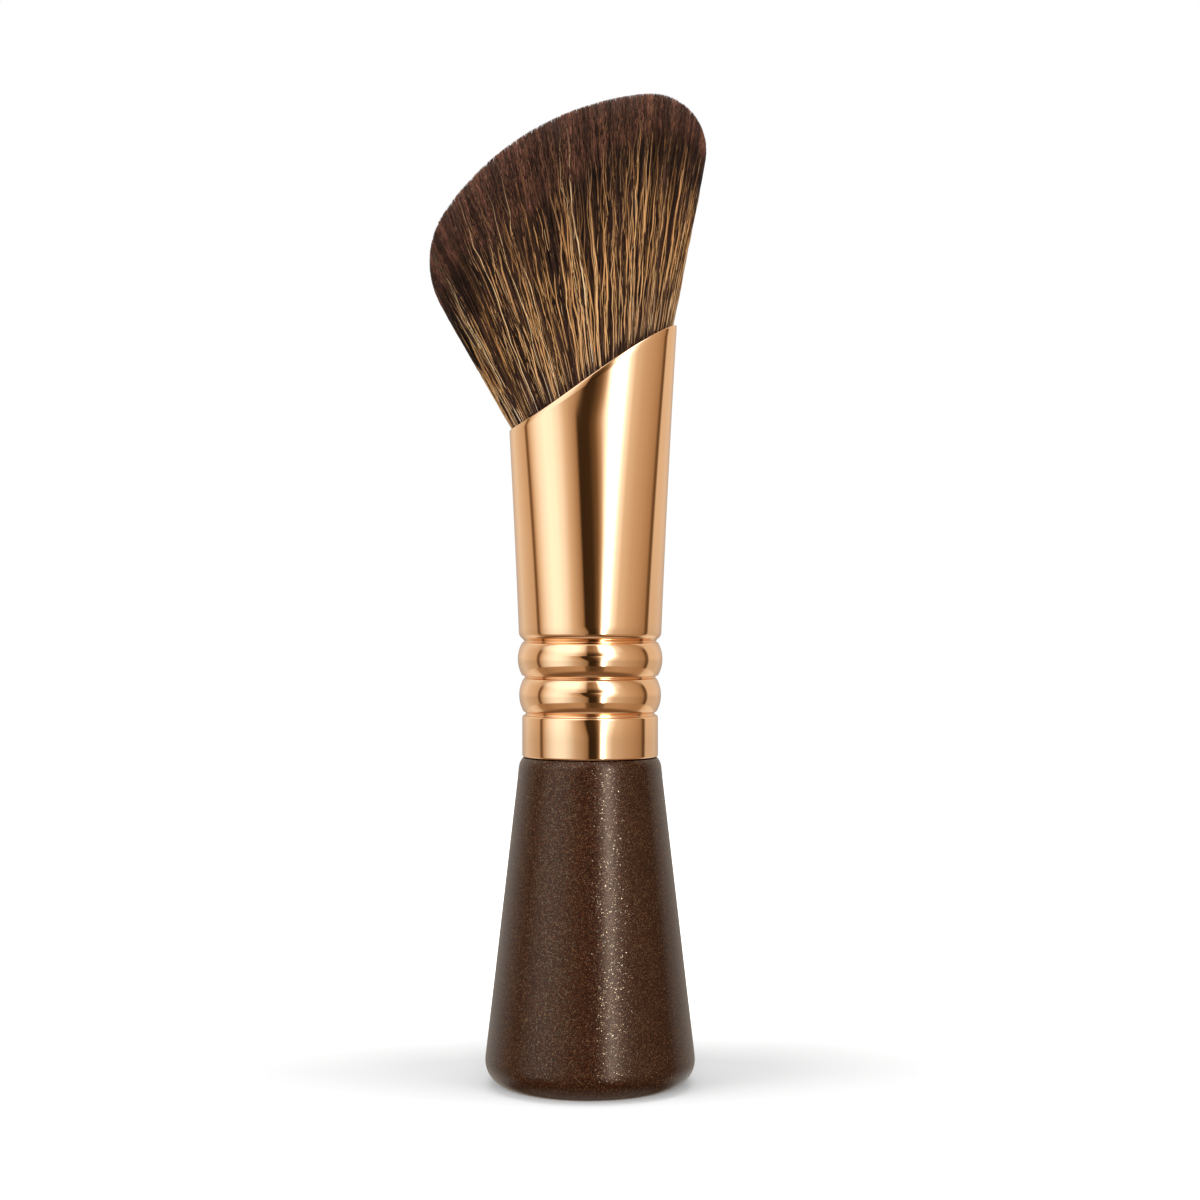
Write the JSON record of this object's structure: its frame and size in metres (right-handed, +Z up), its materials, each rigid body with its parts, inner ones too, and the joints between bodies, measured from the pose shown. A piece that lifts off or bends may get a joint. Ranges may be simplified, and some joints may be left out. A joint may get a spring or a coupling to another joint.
{
  "type": "angled contour brush",
  "caption": "Short-handled contour brush: a dense slanted tuft in an oval metal ferrule, on a conical handle that stands on its flat base.",
  "frame": {"origin": "centre of the handle's flat base, on the handle's axis", "axes": "+Z up along the handle towards the tuft, +X to the side on which the tuft stands higher, -Y to the front seen in the picture"},
  "size_m": [0.0307, 0.0234, 0.11],
  "materials": {
    "handle_lacquer": "satin pearl lacquer, dark brown with fine gold flakes",
    "ferrule_metal": "polished, warm rose gold plating",
    "set_glue": "set resin, hidden in the ferrule",
    "dark_hair": "soft dark brown hair with velvety tips",
    "golden_hair": "soft golden hair, slightly wavy"
  },
  "bodies": {
    "root": {"handle": "handle_lacquer", "ferrule": "ferrule_metal", "glue_plug": "set_glue", "dark_hair": "dark_hair", "golden_hair": "golden_hair"}
  },
  "joints": []
}
